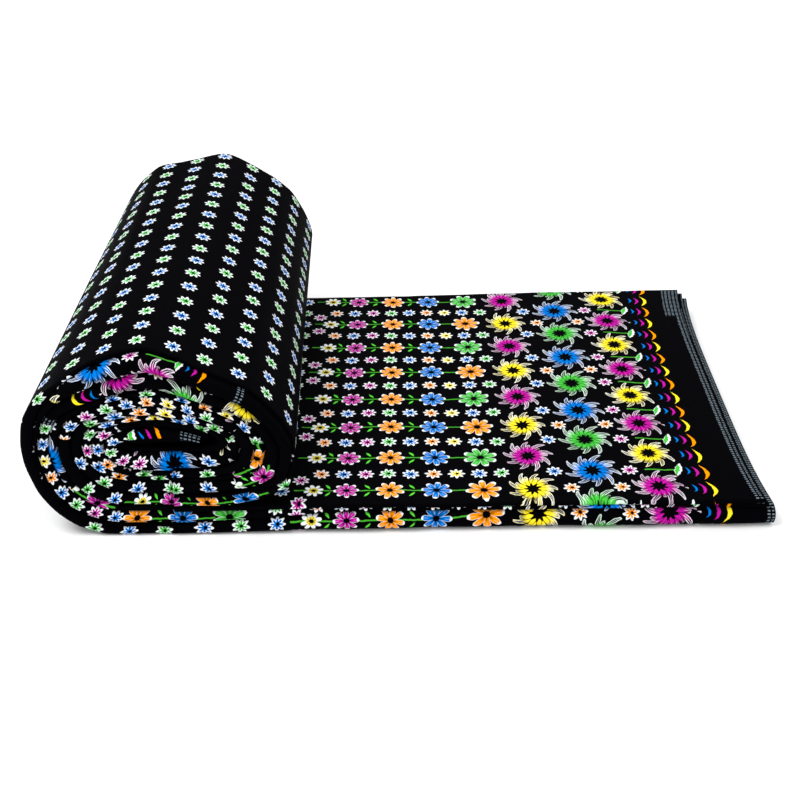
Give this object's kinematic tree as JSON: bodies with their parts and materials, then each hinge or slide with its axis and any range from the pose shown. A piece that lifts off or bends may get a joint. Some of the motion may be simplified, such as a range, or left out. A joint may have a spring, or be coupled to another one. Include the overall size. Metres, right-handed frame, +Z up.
{
  "type": "wax print fabric",
  "caption": "Length of black floral wax print cotton, folded lengthwise in layers and wound into a loose roll, its last stretch lying flat.",
  "frame": {"origin": "middle of the footprint, on the ground under the folded cloth", "axes": "+X points from the roll to the free selvedge end, +Y to the back along the roll, +Z up"},
  "size_m": [0.5348, 0.359, 0.1611],
  "materials": {
    "wax_print_cotton": "black cotton with a resist-printed floral pattern, lightly calendered"
  },
  "bodies": {
    "root": {"lying_outer_folds": "wax_print_cotton", "lying_middle_folds": "wax_print_cotton", "lying_inner_folds": "wax_print_cotton", "outer_turn_outer_folds": "wax_print_cotton", "outer_turn_middle_folds": "wax_print_cotton", "outer_turn_inner_folds": "wax_print_cotton", "second_turn_outer_folds": "wax_print_cotton", "second_turn_middle_folds": "wax_print_cotton", "second_turn_inner_folds": "wax_print_cotton", "core_turn_outer_folds": "wax_print_cotton", "core_turn_middle_folds": "wax_print_cotton", "core_turn_inner_folds": "wax_print_cotton"}
  },
  "joints": []
}
